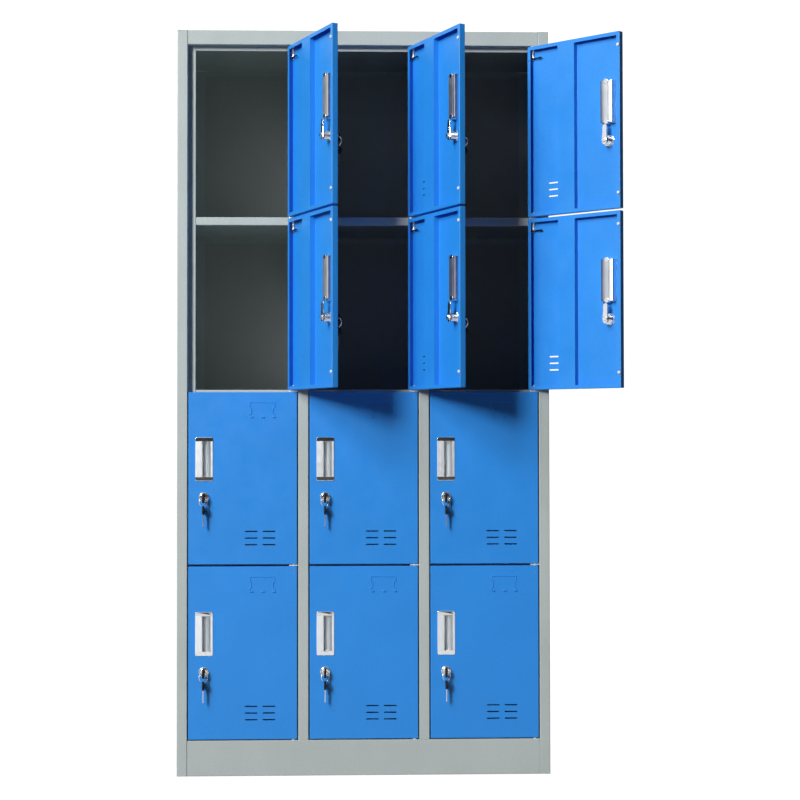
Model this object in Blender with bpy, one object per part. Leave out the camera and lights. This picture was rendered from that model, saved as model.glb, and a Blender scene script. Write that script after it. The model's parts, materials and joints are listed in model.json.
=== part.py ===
"""Twelve-door steel locker: three columns of four compartments, hinged doors, recessed pulls, cam locks.

World frame: metres, X to the right, front towards -Y, Z up. The origin lies on the floor under the
middle of the plinth's bottom flange. Every pivot is an empty on the real joint axis.
"""

import math

import bmesh
import bpy
from mathutils import Matrix, Vector

MM = 0.001
GAP = 0.3 * MM

# Overall size
WIDTH = 900 * MM
HEIGHT = 1800 * MM
DEPTH = 450 * MM
SHEET = 1.0 * MM
COLUMNS = 3
ROWS = 4

# Front frame
POST = 25 * MM
PLINTH = 85 * MM
RAIL = 35 * MM
STOP_DEPTH = 19 * MM
STOP_LIP = 18 * MM
RAIL_LIP = 11 * MM
FLOOR_FLANGE = 30 * MM
REAR_FLANGE = 25 * MM
PAN_REAR_FLANGE = 14 * MM
FRONT_Y = -FLOOR_FLANGE / 2
BACK_Y = FRONT_Y + DEPTH
OPENING = (WIDTH - (COLUMNS + 1) * POST) / COLUMNS
COLUMN_PITCH = OPENING + POST
ROW_PITCH = (HEIGHT - PLINTH - RAIL) / ROWS
SHELF_FRONT = 20 * MM
SHELF_RETURN = 13 * MM
SHELF_DROP = 6.5 * MM
WEB_HALF = 0.6 * MM

# Doors
SIDE_GAP = 2.5 * MM
ROW_GAP = 5 * MM
DOOR_WIDTH = OPENING - 2 * SIDE_GAP
DOOR_HEIGHT = ROW_PITCH - ROW_GAP
DOOR_THICKNESS = 15 * MM
DOOR_LIP = 9 * MM
PIVOT_FROM_EDGE = 9 * MM
PIVOT_FROM_FACE = 3.5 * MM
STIFFENER_START = 88 * MM
STIFFENER_WIDTH = 47 * MM

# Pivot pins and the hinge leaves that hold them
PIN_RADIUS = 2.5 * MM
PIN_SIDES = 16
PIN_RUNNING = 0.08 * MM
LEAF_THICKNESS = 3 * MM
LEAF_LENGTH = 16 * MM
LEAF_DEPTH = 14 * MM
LEAF_SETBACK = 0.1 * MM

# Ventilation slots, measured from the free edge and the bottom of the door
SLOT_WIDTH = 30 * MM
SLOT_HEIGHT = 3.2 * MM
SLOT_PITCH = 16 * MM
SLOT_CENTRES = (151 * MM, 194 * MM)
SLOT_LOWEST = 45.7 * MM
SLOT_ROWS = 3

# Recessed pull, measured from the free edge and the top of the door
PULL_WIDTH = 42 * MM
PULL_HEIGHT = 105 * MM
PULL_FROM_EDGE = 17 * MM
PULL_FROM_TOP = 109 * MM
PULL_FLANGE = 1.5 * MM
PULL_RIM = 3 * MM
PULL_CUP_DEPTH = 17.5 * MM
PULL_WALL = 1.5 * MM
PULL_GRIP = 16.5 * MM
PULL_FAR_RIM = 5.5 * MM
PULL_CAP = 10 * MM

# Cam lock, measured from the free edge and the top of the door
LOCK_FROM_EDGE = 37.5 * MM
LOCK_FROM_TOP = 253 * MM
LOCK_SIDES = 24
BEZEL_RADIUS = 12 * MM
BEZEL_HEIGHT = 2.5 * MM
BARREL_RADIUS = 9.5 * MM
CAM_FRONT = 21.5 * MM
CAM_THICKNESS = 2.5 * MM
CAM_LENGTH = 37 * MM
CAM_HALF_WIDTH = 7 * MM
CAM_TAIL = 11.2 * MM
CAM_NUT_RADIUS = 6 * MM
CAM_NUT_HEIGHT = 4 * MM
KEY_THICKNESS = 2.6 * MM
KEY_NECK_HALF = 4 * MM
KEY_NECK_THICKNESS = 2.1 * MM
KEY_BOW_GAP = 2.5 * MM
KEY_BOW_LENGTH = 19 * MM
KEY_BOW_HEIGHT = 27 * MM
KEY_HOLE_RADIUS = 5 * MM
KEY_SIDES = 20

# How far each door stands open, by row from the top and column from the left
DOORS_OPEN = (
    (115, 115, 139),
    (115, 115, 139),
    (0, 0, 0),
    (0, 0, 0),
)

STEEL_GREY = ("carcass_grey", (0.45, 0.50, 0.49, 1.0), 0.55, 0.0)
DOOR_BLUE = ("door_blue", (0.04, 0.26, 0.75, 1.0), 0.45, 0.0)
PULL_ALUMINIUM = ("pull_aluminium", (0.80, 0.81, 0.82, 1.0), 0.30, 1.0)
LOCK_CHROME = ("lock_chrome", (0.82, 0.83, 0.84, 1.0), 0.15, 1.0)


def clear_scene():
    for thing in list(bpy.data.objects):
        bpy.data.objects.remove(thing, do_unlink=True)


def material(spec):
    """The material of this name, made once."""
    name, colour, roughness, metallic = spec
    found = bpy.data.materials.get(name)
    if found:
        return found
    made = bpy.data.materials.new(name)
    made.use_nodes = True
    shader = made.node_tree.nodes["Principled BSDF"]
    shader.inputs["Base Color"].default_value = colour
    shader.inputs["Roughness"].default_value = roughness
    shader.inputs["Metallic"].default_value = metallic
    return made


def mesh_from(name, vertices, faces):
    mesh = bpy.data.meshes.new(name)
    mesh.from_pydata([tuple(v) for v in vertices], [], faces)
    mesh.validate()
    work = bmesh.new()
    work.from_mesh(mesh)
    bmesh.ops.recalc_face_normals(work, faces=work.faces)
    work.to_mesh(mesh)
    work.free()
    return mesh


def box_mesh(name, low, high):
    vertices = [
        (x, y, z)
        for x in (low[0], high[0])
        for y in (low[1], high[1])
        for z in (low[2], high[2])
    ]
    faces = [(0, 1, 3, 2), (4, 6, 7, 5), (0, 4, 5, 1), (2, 3, 7, 6), (0, 2, 6, 4), (1, 5, 7, 3)]
    return mesh_from(name, vertices, faces)


def prism_mesh(name, outline, start, end):
    """A closed prism: the outline's points at start, joined to the same points moved to end."""
    count = len(outline)
    vertices = [Vector(p) + Vector(start) for p in outline]
    vertices += [Vector(p) + Vector(end) for p in outline]
    faces = [tuple(range(count)), tuple(range(count, 2 * count))]
    for i in range(count):
        j = (i + 1) % count
        faces.append((i, j, count + j, count + i))
    return mesh_from(name, vertices, faces)


def ring_points(radius, sides, axis, squash=1.0):
    """Points around an ellipse in the plane across the axis; squash scales the first direction."""
    points = []
    for i in range(sides):
        turn = 2 * math.pi * (i + 0.5) / sides
        u = radius * squash * math.cos(turn)
        v = radius * math.sin(turn)
        points.append({"X": (0, u, v), "Y": (u, 0, v), "Z": (u, v, 0)}[axis])
    return points


def cylinder_mesh(name, radius, sides, axis, centre, low, high):
    """A faceted cylinder along the axis, from low to high on it."""
    direction = {"X": Vector((1, 0, 0)), "Y": Vector((0, 1, 0)), "Z": Vector((0, 0, 1))}[axis]
    start = Vector(centre) + direction * low
    end = Vector(centre) + direction * high
    return prism_mesh(name, ring_points(radius, sides, axis), start, end)


def folded_outline(path, thickness):
    """The outline of a thin sheet bent along a path of right angles, half the thickness each side."""
    half = thickness / 2
    points = [Vector((p[0], p[1])) for p in path]
    sides = ([], [])
    for i, point in enumerate(points):
        before = (point - points[i - 1]).normalized() if i else None
        after = (points[i + 1] - point).normalized() if i + 1 < len(points) else None
        normals = [Vector((-d.y, d.x)) for d in (before, after) if d is not None]
        shift = normals[0] + normals[1] if len(normals) == 2 else normals[0]
        sides[0].append(point + shift * half)
        sides[1].append(point - shift * half)
    return sides[0] + sides[1][::-1]


def combine(name, base, steps):
    """Applies booleans in order. Each step is (operation, mesh of the other operand)."""
    body = bpy.data.objects.new(name + "_work", base)
    bpy.context.scene.collection.objects.link(body)
    helpers = []
    for operation, mesh in steps:
        helper = bpy.data.objects.new(name + "_helper", mesh)
        helper.hide_render = True
        helper.display_type = "WIRE"
        bpy.context.scene.collection.objects.link(helper)
        helpers.append(helper)
        modifier = body.modifiers.new("step", "BOOLEAN")
        modifier.operation = operation
        modifier.solver = "EXACT"
        modifier.object = helper
    graph = bpy.context.evaluated_depsgraph_get()
    made = bpy.data.meshes.new_from_object(body.evaluated_get(graph))
    made.name = name
    for helper in helpers + [body]:
        bpy.data.objects.remove(helper, do_unlink=True)
    work = bmesh.new()
    work.from_mesh(made)
    bmesh.ops.dissolve_limit(work, angle_limit=0.001, verts=work.verts, edges=work.edges)
    work.to_mesh(made)
    work.free()
    return made


def cut(mesh):
    return ("DIFFERENCE", mesh)


def add(mesh):
    return ("UNION", mesh)


def place(name, mesh, spec, parent=None):
    thing = bpy.data.objects.new(name, mesh)
    bpy.context.scene.collection.objects.link(thing)
    if not mesh.materials:
        mesh.materials.append(material(spec))
    if parent:
        thing.parent = parent
    return thing


def pivot(name, location, angle_deg=0.0, parent=None):
    """An empty on a joint axis."""
    axis = bpy.data.objects.new(name, None)
    bpy.context.scene.collection.objects.link(axis)
    axis.empty_display_size = 0.03
    axis.location = location
    axis.rotation_euler = (0, 0, math.radians(angle_deg))
    if parent:
        axis.parent = parent
    return axis


def opening_left(column):
    return -WIDTH / 2 + POST + column * COLUMN_PITCH


def post_centre(partition):
    return opening_left(partition) + OPENING + POST / 2


def boundary(level):
    """Height of the line between two rows: level 0 is the plinth's top and 4 the rail's bottom."""
    return PLINTH + level * ROW_PITCH


def hinge_point(column):
    x = opening_left(column) + OPENING - SIDE_GAP - PIVOT_FROM_EDGE
    return x, FRONT_Y + PIVOT_FROM_FACE


def pin_hole(column, low, high):
    radius = (PIN_RADIUS + PIN_RUNNING) / math.cos(math.pi / PIN_SIDES)
    x, y = hinge_point(column)
    return cylinder_mesh("pin_hole", radius, PIN_SIDES, "Z", (x, y, 0), low, high)


def hinge_leaves(column):
    """Steps that weld the three hinge leaves of a column to the post on its right, and bore them."""
    right = opening_left(column) + OPENING
    steps = []
    for level in range(1, ROWS):
        middle = boundary(level)
        low = (right - LEAF_LENGTH, FRONT_Y + LEAF_SETBACK, middle - LEAF_THICKNESS / 2)
        high = (right + SHEET / 2, FRONT_Y + LEAF_DEPTH, middle + LEAF_THICKNESS / 2)
        steps.append(add(box_mesh("leaf", low, high)))
        steps.append(cut(pin_hole(column, middle - LEAF_THICKNESS, middle + LEAF_THICKNESS)))
    return steps


def lip_reliefs(side):
    """Steps that end the stop lip of a side panel at the rail above and the plinth below."""
    edge = side * (WIDTH / 2 - POST)
    low_x, high_x = sorted((edge, edge - side * (STOP_LIP + POST)))
    steps = []
    for low_z, high_z in ((-PLINTH, PLINTH + GAP), (HEIGHT - RAIL - GAP, HEIGHT + RAIL)):
        low = (low_x, FRONT_Y - POST, low_z)
        high = (high_x, FRONT_Y + STOP_DEPTH + POST, high_z)
        steps.append(cut(box_mesh("relief", low, high)))
    return steps


def side_panel(side):
    """A side panel folded into the front post, its stop lip and the rear flange."""
    outer = side * WIDTH / 2
    front = FRONT_Y
    stop = FRONT_Y + STOP_DEPTH
    rear = BACK_Y - SHEET - GAP
    inner = outer - side * SHEET
    post = outer - side * POST
    wall = post + side * SHEET
    lip = post - side * STOP_LIP
    flange = outer - side * (REAR_FLANGE + SHEET)
    outline = [
        (outer, front),
        (post, front),
        (post, stop),
        (lip, stop),
        (lip, stop + SHEET),
        (wall, stop + SHEET),
        (wall, front + SHEET),
        (inner, front + SHEET),
        (inner, rear - SHEET),
        (flange, rear - SHEET),
        (flange, rear),
        (outer, rear),
    ]
    top = (0, 0, HEIGHT - SHEET - GAP)
    base = prism_mesh("side_panel", [(x, y, 0) for x, y in outline], (0, 0, 0), top)
    steps = lip_reliefs(side)
    if side > 0:
        steps += hinge_leaves(COLUMNS - 1)
    name = "right_side_panel" if side > 0 else "left_side_panel"
    place(name, combine(name, base, steps), STEEL_GREY)


def partition(number, name):
    """A partition web folded into the middle post, with stop lips to both sides."""
    centre = post_centre(number)
    half = POST / 2
    front = FRONT_Y
    stop = FRONT_Y + STOP_DEPTH
    rear = BACK_Y - SHEET - GAP
    lip = half + STOP_LIP
    right_half = [
        (half, front),
        (half, stop),
        (lip, stop),
        (lip, stop + SHEET),
        (half - SHEET, stop + SHEET),
        (half - SHEET, front + SHEET),
        (WEB_HALF, front + SHEET),
        (WEB_HALF, rear),
    ]
    outline = right_half + [(-x, y) for x, y in reversed(right_half)]
    low = PLINTH + GAP
    high = HEIGHT - SHEET - GAP
    points = [(centre + x, y, 0) for x, y in outline]
    base = prism_mesh(name, points, (0, 0, low), (0, 0, high))
    relief_low = (centre - POST * 2, FRONT_Y - POST, HEIGHT - RAIL - GAP)
    relief_high = (centre + POST * 2, stop + 2 * SHEET + 2 * GAP, HEIGHT + RAIL)
    steps = [cut(box_mesh("relief", relief_low, relief_high))]
    steps += hinge_leaves(number)
    place(name, combine(name, base, steps), STEEL_GREY)


def corner_reliefs(low_z, high_z):
    """Cutters that leave room for the side posts at the front corners of a pan."""
    meshes = []
    for side in (-1, 1):
        edge = side * (WIDTH / 2 - POST - GAP)
        low_x, high_x = sorted((edge, side * WIDTH))
        low = (low_x, FRONT_Y - POST, low_z)
        high = (high_x, FRONT_Y + STOP_DEPTH + SHEET + GAP, high_z)
        meshes.append(box_mesh("corner", low, high))
    return meshes


def pan_prism(name, path, half):
    """A sheet folded in the YZ plane, extruded this far to each side of the middle."""
    outline = [(0, p[0], p[1]) for p in folded_outline(path, SHEET)]
    return prism_mesh(name, outline, (-half, 0, 0), (half, 0, 0))


def pan_rear():
    return BACK_Y - 2 * SHEET - 2 * GAP - SHEET / 2


def top_panel():
    """The top sheet, folded down into the front rail with its return, stop lip and rear flange."""
    face = FRONT_Y + SHEET / 2
    stop = FRONT_Y + STOP_DEPTH + SHEET + GAP + SHEET / 2
    top = HEIGHT - SHEET / 2
    under = HEIGHT - RAIL + SHEET / 2
    path = [
        (pan_rear(), top - PAN_REAR_FLANGE),
        (pan_rear(), top),
        (face, top),
        (face, under),
        (stop, under),
        (stop, under - RAIL_LIP - SHEET / 2),
    ]
    under_sheet = HEIGHT - SHEET
    steps = [cut(mesh) for mesh in corner_reliefs(HEIGHT - RAIL * 2, under_sheet)]
    for side in (-1, 1):
        low_x, high_x = sorted((side * (WIDTH / 2 - SHEET - GAP), side * WIDTH))
        low = (low_x, FRONT_Y, HEIGHT - RAIL * 2)
        high = (high_x, BACK_Y, under_sheet)
        steps.append(cut(box_mesh("side_relief", low, high)))
    for number in range(COLUMNS - 1):
        centre = post_centre(number)
        low = (centre - WEB_HALF - GAP, FRONT_Y + STOP_DEPTH, HEIGHT - RAIL * 2)
        high = (centre + WEB_HALF + GAP, stop + SHEET, HEIGHT - RAIL)
        steps.append(cut(box_mesh("web_notch", low, high)))
        low = (low[0], pan_rear() - SHEET, HEIGHT - 2 * RAIL)
        high = (high[0], pan_rear() + SHEET, HEIGHT - SHEET)
        steps.append(cut(box_mesh("rear_notch", low, high)))
    for column in range(COLUMNS):
        steps.append(cut(pin_hole(column, HEIGHT - RAIL - SHEET, HEIGHT - RAIL + 2 * SHEET)))
    base = pan_prism("top_panel", path, WIDTH / 2)
    place("top_panel", combine("top_panel", base, steps), STEEL_GREY)


def base_panel():
    """The bottom sheet, folded down into the plinth and its floor flange."""
    face = FRONT_Y + SHEET / 2
    top = PLINTH - SHEET / 2
    path = [
        (FRONT_Y + FLOOR_FLANGE, SHEET / 2),
        (face, SHEET / 2),
        (face, top),
        (pan_rear(), top),
        (pan_rear(), top - PAN_REAR_FLANGE),
    ]
    steps = [cut(mesh) for mesh in corner_reliefs(-PLINTH, PLINTH * 2)]
    for column in range(COLUMNS):
        steps.append(cut(pin_hole(column, PLINTH - 3 * SHEET, PLINTH + SHEET)))
    base = pan_prism("base_plinth", path, WIDTH / 2 - SHEET - GAP)
    place("base_plinth", combine("base_plinth", base, steps), STEEL_GREY)


def back_panel():
    low = (-WIDTH / 2, BACK_Y - SHEET, 0)
    high = (WIDTH / 2, BACK_Y, HEIGHT)
    place("back_panel", box_mesh("back_panel", low, high), STEEL_GREY)


def shelf_span(column):
    """The left and right ends of a column's shelf, between the sheets on either side."""
    side = WIDTH / 2 - SHEET - GAP
    web = WEB_HALF + GAP
    left = -side if column == 0 else post_centre(column - 1) + web
    right = side if column == COLUMNS - 1 else post_centre(column) - web
    return left, right


def shelf(row, column):
    """The shelf under a row's compartment: a sheet with a folded front, a return and a rear flange."""
    middle = boundary(ROWS - row) - SHELF_DROP
    top = middle + SHELF_FRONT / 2 - SHEET / 2
    bottom = middle - SHELF_FRONT / 2 + SHEET / 2
    face = FRONT_Y + STOP_DEPTH + SHEET + GAP + SHEET / 2
    path = [
        (face + SHELF_RETURN, bottom),
        (face, bottom),
        (face, top),
        (pan_rear(), top),
        (pan_rear(), top - PAN_REAR_FLANGE),
    ]
    left, right = shelf_span(column)
    outline = [(0, p[0], p[1]) for p in folded_outline(path, SHEET)]
    name = f"shelf_row{row}_col{column + 1}"
    place(name, prism_mesh(name, outline, (left, 0, 0), (right, 0, 0)), STEEL_GREY)


def door_x(from_free_edge):
    """Door frame: x of a point at this distance from the free edge, with the hinge axis at 0."""
    return PIVOT_FROM_EDGE - DOOR_WIDTH + from_free_edge


def door_y(from_face):
    return from_face - PIVOT_FROM_FACE


def door_pockets():
    """Steps that hollow the door into an outer sheet, rim flanges, rim lips and a vertical stiffener."""
    start = DOOR_WIDTH - STIFFENER_START - STIFFENER_WIDTH
    end = start + STIFFENER_WIDTH
    pockets = [(SHEET, start), (start + SHEET, end - SHEET), (end, DOOR_WIDTH - SHEET)]
    steps = []
    for first, last in pockets:
        low = (door_x(first), door_y(SHEET), SHEET)
        high = (door_x(last), door_y(DOOR_THICKNESS - SHEET), DOOR_HEIGHT - SHEET)
        steps.append(cut(box_mesh("pocket", low, high)))
    for first, last in ((DOOR_LIP, start), (end, DOOR_WIDTH - DOOR_LIP)):
        low = (door_x(first), door_y(DOOR_THICKNESS - 2 * SHEET), DOOR_LIP)
        high = (door_x(last), door_y(DOOR_THICKNESS + SHEET), DOOR_HEIGHT - DOOR_LIP)
        steps.append(cut(box_mesh("inside", low, high)))
    return steps


def door_slots():
    steps = []
    for centre in SLOT_CENTRES:
        for number in range(SLOT_ROWS):
            bottom = SLOT_LOWEST + number * SLOT_PITCH
            low = (door_x(centre - SLOT_WIDTH / 2), door_y(-SHEET), bottom)
            high = (door_x(centre + SLOT_WIDTH / 2), door_y(2 * SHEET), bottom + SLOT_HEIGHT)
            steps.append(cut(box_mesh("slot", low, high)))
    return steps


def pull_corner():
    """The pull's corner nearest the free edge and the bottom, in the door frame."""
    return door_x(PULL_FROM_EDGE), DOOR_HEIGHT - PULL_FROM_TOP - PULL_HEIGHT


def lock_centre():
    return door_x(LOCK_FROM_EDGE), DOOR_HEIGHT - LOCK_FROM_TOP


def door_mesh(name, pin_above, pin_below):
    """The folded door with its slots, cut-outs and the pivot pins above and below."""
    low = (door_x(0), door_y(0), 0)
    high = (PIVOT_FROM_EDGE, door_y(DOOR_THICKNESS), DOOR_HEIGHT)
    x, z = pull_corner()
    room = PULL_RIM - GAP
    pull_low = (x + room, door_y(-SHEET), z + room)
    pull_high = (x + PULL_WIDTH - room, door_y(2 * SHEET), z + PULL_HEIGHT - room)
    lock_x, lock_z = lock_centre()
    hole = cylinder_mesh(
        "lock_hole",
        (BARREL_RADIUS + GAP) / math.cos(math.pi / LOCK_SIDES),
        LOCK_SIDES,
        "Y",
        (lock_x, 0, lock_z),
        door_y(-SHEET),
        door_y(2 * SHEET),
    )
    above = (DOOR_HEIGHT - SHEET / 2, DOOR_HEIGHT + pin_above)
    below = (-pin_below, SHEET / 2)
    steps = door_pockets() + door_slots()
    steps.append(cut(box_mesh("pull_hole", pull_low, pull_high)))
    steps.append(cut(hole))
    for start, end in (above, below):
        pin = cylinder_mesh("pin", PIN_RADIUS, PIN_SIDES, "Z", (0, 0, 0), start, end)
        steps.append(add(pin))
    return combine(name, box_mesh(name, low, high), steps)


def pull_mesh():
    """A flanged cup with a grip lip over its free-edge side, closed by an end cap above and below."""
    x, z = pull_corner()
    back = door_y(PULL_CUP_DEPTH)
    face = door_y(-GAP - PULL_FLANGE)
    flange = box_mesh(
        "flange", (x, face, z), (x + PULL_WIDTH, door_y(-GAP), z + PULL_HEIGHT)
    )
    cup = box_mesh(
        "cup",
        (x + PULL_RIM, face + PULL_FLANGE / 2, z + PULL_RIM),
        (x + PULL_WIDTH - PULL_RIM, back, z + PULL_HEIGHT - PULL_RIM),
    )
    inset = PULL_RIM + PULL_WALL
    pocket = box_mesh(
        "pocket",
        (x + inset, door_y(-GAP), z + inset),
        (x + PULL_WIDTH - inset, back - PULL_WALL, z + PULL_HEIGHT - inset),
    )
    mouth = box_mesh(
        "mouth",
        (x + PULL_GRIP, face - PULL_FLANGE, z + PULL_CAP),
        (x + PULL_WIDTH - PULL_FAR_RIM, door_y(PULL_WALL), z + PULL_HEIGHT - PULL_CAP),
    )
    return combine("pull", flange, [add(cup), cut(pocket), cut(mouth)])


def lock_mesh():
    """Bezel, barrel, cam and key of one lock, about the lock axis; the outer face looks to -Y."""
    face = -BEZEL_HEIGHT - GAP
    barrel_end = CAM_FRONT + CAM_THICKNESS / 2
    centre = (0, 0, 0)
    bezel = cylinder_mesh("bezel", BEZEL_RADIUS, LOCK_SIDES, "Y", centre, face, -GAP)
    barrel = cylinder_mesh(
        "barrel", BARREL_RADIUS, LOCK_SIDES, "Y", centre, face + SHEET, barrel_end
    )
    cam = box_mesh(
        "cam",
        (-CAM_HALF_WIDTH, CAM_FRONT, -CAM_TAIL),
        (CAM_HALF_WIDTH, CAM_FRONT + CAM_THICKNESS, CAM_LENGTH),
    )
    nut = cylinder_mesh(
        "nut",
        CAM_NUT_RADIUS,
        6,
        "Y",
        centre,
        CAM_FRONT + CAM_THICKNESS / 2,
        CAM_FRONT + CAM_THICKNESS + CAM_NUT_HEIGHT,
    )
    half = KEY_THICKNESS / 2
    bow_near = face - KEY_BOW_GAP
    bow_centre = (0, bow_near - KEY_BOW_LENGTH / 2, 0)
    neck = box_mesh(
        "neck",
        (-KEY_NECK_THICKNESS / 2, bow_centre[1] + KEY_HOLE_RADIUS + SHEET, -KEY_NECK_HALF),
        (KEY_NECK_THICKNESS / 2, face + SHEET / 2, KEY_NECK_HALF),
    )
    squash = KEY_BOW_LENGTH / KEY_BOW_HEIGHT
    outline = ring_points(KEY_BOW_HEIGHT / 2, KEY_SIDES, "X", squash)
    start = Vector(bow_centre) - Vector((half, 0, 0))
    bow = prism_mesh("bow", outline, start, start + Vector((KEY_THICKNESS, 0, 0)))
    hole = cylinder_mesh("hole", KEY_HOLE_RADIUS, KEY_SIDES, "X", bow_centre, -POST, POST)
    steps = [add(barrel), add(cam), add(nut), add(neck), add(bow), cut(hole)]
    return combine("lock", bezel, steps)


def door_set(row, column, door, pull, lock):
    """One door with its pull and lock, turned about the hinge axis to its resting angle."""
    x, y = hinge_point(column)
    z = boundary(ROWS - row) + ROW_GAP / 2
    tag = f"row{row}_col{column + 1}"
    hinge = pivot("hinge_" + tag, (x, y, z), DOORS_OPEN[row - 1][column])
    place("door_" + tag, door, DOOR_BLUE, hinge)
    place("pull_" + tag, pull, PULL_ALUMINIUM, hinge)
    lock_x, lock_z = lock_centre()
    turn = pivot("lock_axis_" + tag, (lock_x, door_y(0), lock_z), parent=hinge)
    place("lock_" + tag, lock, LOCK_CHROME, turn)


def build():
    clear_scene()
    side_panel(-1)
    side_panel(1)
    partition(0, "partition_left")
    partition(1, "partition_right")
    top_panel()
    base_panel()
    back_panel()
    for row in range(1, ROWS):
        for column in range(COLUMNS):
            shelf(row, column)
    short_pin = ROW_GAP / 2 - GAP / 2
    long_pin = ROW_GAP / 2 + SHEET
    doors = {
        row: door_mesh(
            f"door_row{row}",
            long_pin if row == 1 else short_pin,
            long_pin if row == ROWS else short_pin,
        )
        for row in range(1, ROWS + 1)
    }
    pull = pull_mesh()
    lock = lock_mesh()
    for row in range(1, ROWS + 1):
        for column in range(COLUMNS):
            door_set(row, column, doors[row], pull, lock)


build()
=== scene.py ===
"""Looks of the twelve-door locker cabinet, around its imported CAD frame. Metres, front towards -Y."""

import json
import math

import bmesh
import bpy
from mathutils import Matrix, Vector

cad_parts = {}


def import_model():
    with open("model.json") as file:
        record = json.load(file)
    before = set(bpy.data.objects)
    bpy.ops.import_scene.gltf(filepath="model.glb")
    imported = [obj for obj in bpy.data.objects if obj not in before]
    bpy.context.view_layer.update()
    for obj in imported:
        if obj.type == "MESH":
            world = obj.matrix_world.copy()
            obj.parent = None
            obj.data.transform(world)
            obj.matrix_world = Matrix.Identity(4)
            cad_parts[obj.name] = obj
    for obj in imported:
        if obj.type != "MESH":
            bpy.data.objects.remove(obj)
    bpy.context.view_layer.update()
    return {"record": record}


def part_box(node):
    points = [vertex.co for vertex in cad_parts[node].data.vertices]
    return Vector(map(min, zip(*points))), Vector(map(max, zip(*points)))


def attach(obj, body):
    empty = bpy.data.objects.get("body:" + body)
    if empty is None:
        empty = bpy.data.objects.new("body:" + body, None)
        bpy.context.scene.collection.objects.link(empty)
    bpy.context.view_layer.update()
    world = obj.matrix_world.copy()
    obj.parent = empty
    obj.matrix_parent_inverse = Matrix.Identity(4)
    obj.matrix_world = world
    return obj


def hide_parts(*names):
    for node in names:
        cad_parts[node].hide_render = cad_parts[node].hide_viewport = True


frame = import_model()

MM = 0.001
COLUMNS = 3
ROWS = 4
SHEET = 1.0 * MM
GAP = 0.3 * MM
SEAM = 0.4 * MM
BEND = 1.6 * MM

# Carcass, as the CAD has it
LOW, HIGH = (Vector(c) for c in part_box("back_panel"))
WIDTH = HIGH.x - LOW.x
HEIGHT = HIGH.z
BACK_Y = HIGH.y
FRONT_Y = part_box("base_plinth")[0][1]
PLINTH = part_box("base_plinth")[1][2]
POST = 25 * MM
RAIL = 35 * MM
STOP_DEPTH = 19 * MM
STOP_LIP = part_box("left_side_panel")[1][0] - LOW.x - POST
RAIL_LIP = 11 * MM
RAIL_PIECE_DEPTH = 40 * MM
FLOOR_FLANGE = 30 * MM
REAR_FLANGE = 25 * MM
PAN_REAR_FLANGE = 14 * MM
OPENING = (WIDTH - (COLUMNS + 1) * POST) / COLUMNS
COLUMN_PITCH = OPENING + POST
ROW_PITCH = (HEIGHT - PLINTH - RAIL) / ROWS
SHELF_FRONT = 20 * MM
SHELF_RETURN = 13 * MM
SHELF_DROP = 6.5 * MM
LEAF_THICKNESS = 3 * MM
LEAF_LENGTH = 22 * MM
LEAF_DEPTH = 14 * MM

# Doors: s runs from the free edge, d from the outer face inwards
ROW_GAP = 5 * MM
DOOR_WIDTH = OPENING - 5 * MM
DOOR_HEIGHT = ROW_PITCH - ROW_GAP
DOOR_THICKNESS = 15 * MM
DOOR_LIP = 9 * MM
PIVOT_FROM_EDGE = 9 * MM
PIVOT_FROM_FACE = 3.5 * MM
PIN_RADIUS = 2.5 * MM
STIFFENER = (DOOR_WIDTH - 135 * MM, DOOR_WIDTH - 88 * MM)
SLOT_SIZE = (30 * MM, 3.2 * MM)
SLOT_CENTRES = (151 * MM, 194 * MM)
SLOT_LOWEST = 45.7 * MM
SLOT_PITCH = 16 * MM
SLOT_ROWS = 3
LABEL = (147.5 * MM, DOOR_HEIGHT - 64 * MM, 60 * MM, 39 * MM)
TAB_SHARES = (0.075, 0.53, 0.97)
PULL_SIZE = (42 * MM, 105 * MM)
PULL_CORNER = (17 * MM, DOOR_HEIGHT - 214 * MM)
PULL_CAP = 10 * MM
LOCK_POINT = (37.5 * MM, DOOR_HEIGHT - 253 * MM)
LOCK_HOLE_RADIUS = 9.8 * MM
BUMPER_HEIGHTS = (36 * MM, DOOR_HEIGHT - 32 * MM)
LIP_HOLE_FROM_END = 34 * MM
LEVER_FROM_TOP = 28.5 * MM
LEVER_FROM_PIVOT = 3.4 * MM


# ---------------------------------------------------------------- shapes: (points, faces)


def merge(*shapes):
    points, faces = [], []
    for more_points, more_faces in shapes:
        base = len(points)
        points += [tuple(p) for p in more_points]
        faces += [tuple(i + base for i in face) for face in more_faces]
    return points, faces


def moved(shape, matrix):
    return [matrix @ Vector(p) for p in shape[0]], shape[1]


def shifted(shape, x, y, z):
    return moved(shape, Matrix.Translation((x, y, z)))


# How a point (u, v) of an outline in each plane, at w along the plane's normal, lies in space
PLANES = {
    "XY": lambda u, v, w: (u, v, w),
    "YZ": lambda u, v, w: (w, u, v),
    "XZ": lambda u, v, w: (u, w, v),
}


def skin(loops, closed=False):
    """Faces between loops of equally many points. The ends are capped, unless the loops close."""
    size, count = len(loops[0]), len(loops)
    faces = []
    if not closed:
        faces += [tuple(range(size)), tuple(range((count - 1) * size, count * size))]
    for k in range(count if closed else count - 1):
        a, b = k * size, (k + 1) % count * size
        for i in range(size):
            j = (i + 1) % size
            faces.append((a + i, a + j, b + j, b + i))
    return [point for loop in loops for point in loop], faces


def prism(outline, low, high, plane="XY"):
    """A closed outline in a plane, extruded along the plane's normal from low to high."""
    turn = PLANES[plane]
    return skin([[turn(p[0], p[1], w) for p in outline] for w in (low, high)])


def plate(outline, low, high, plane, edge):
    """A prism whose two rims are chamfered by edge."""
    turn = PLANES[plane]
    inner = inset(outline, edge)
    layers = [(inner, low), (outline, low + edge), (outline, high - edge), (inner, high)]
    return skin([[turn(p[0], p[1], w) for p in loop] for loop, w in layers])


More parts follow.
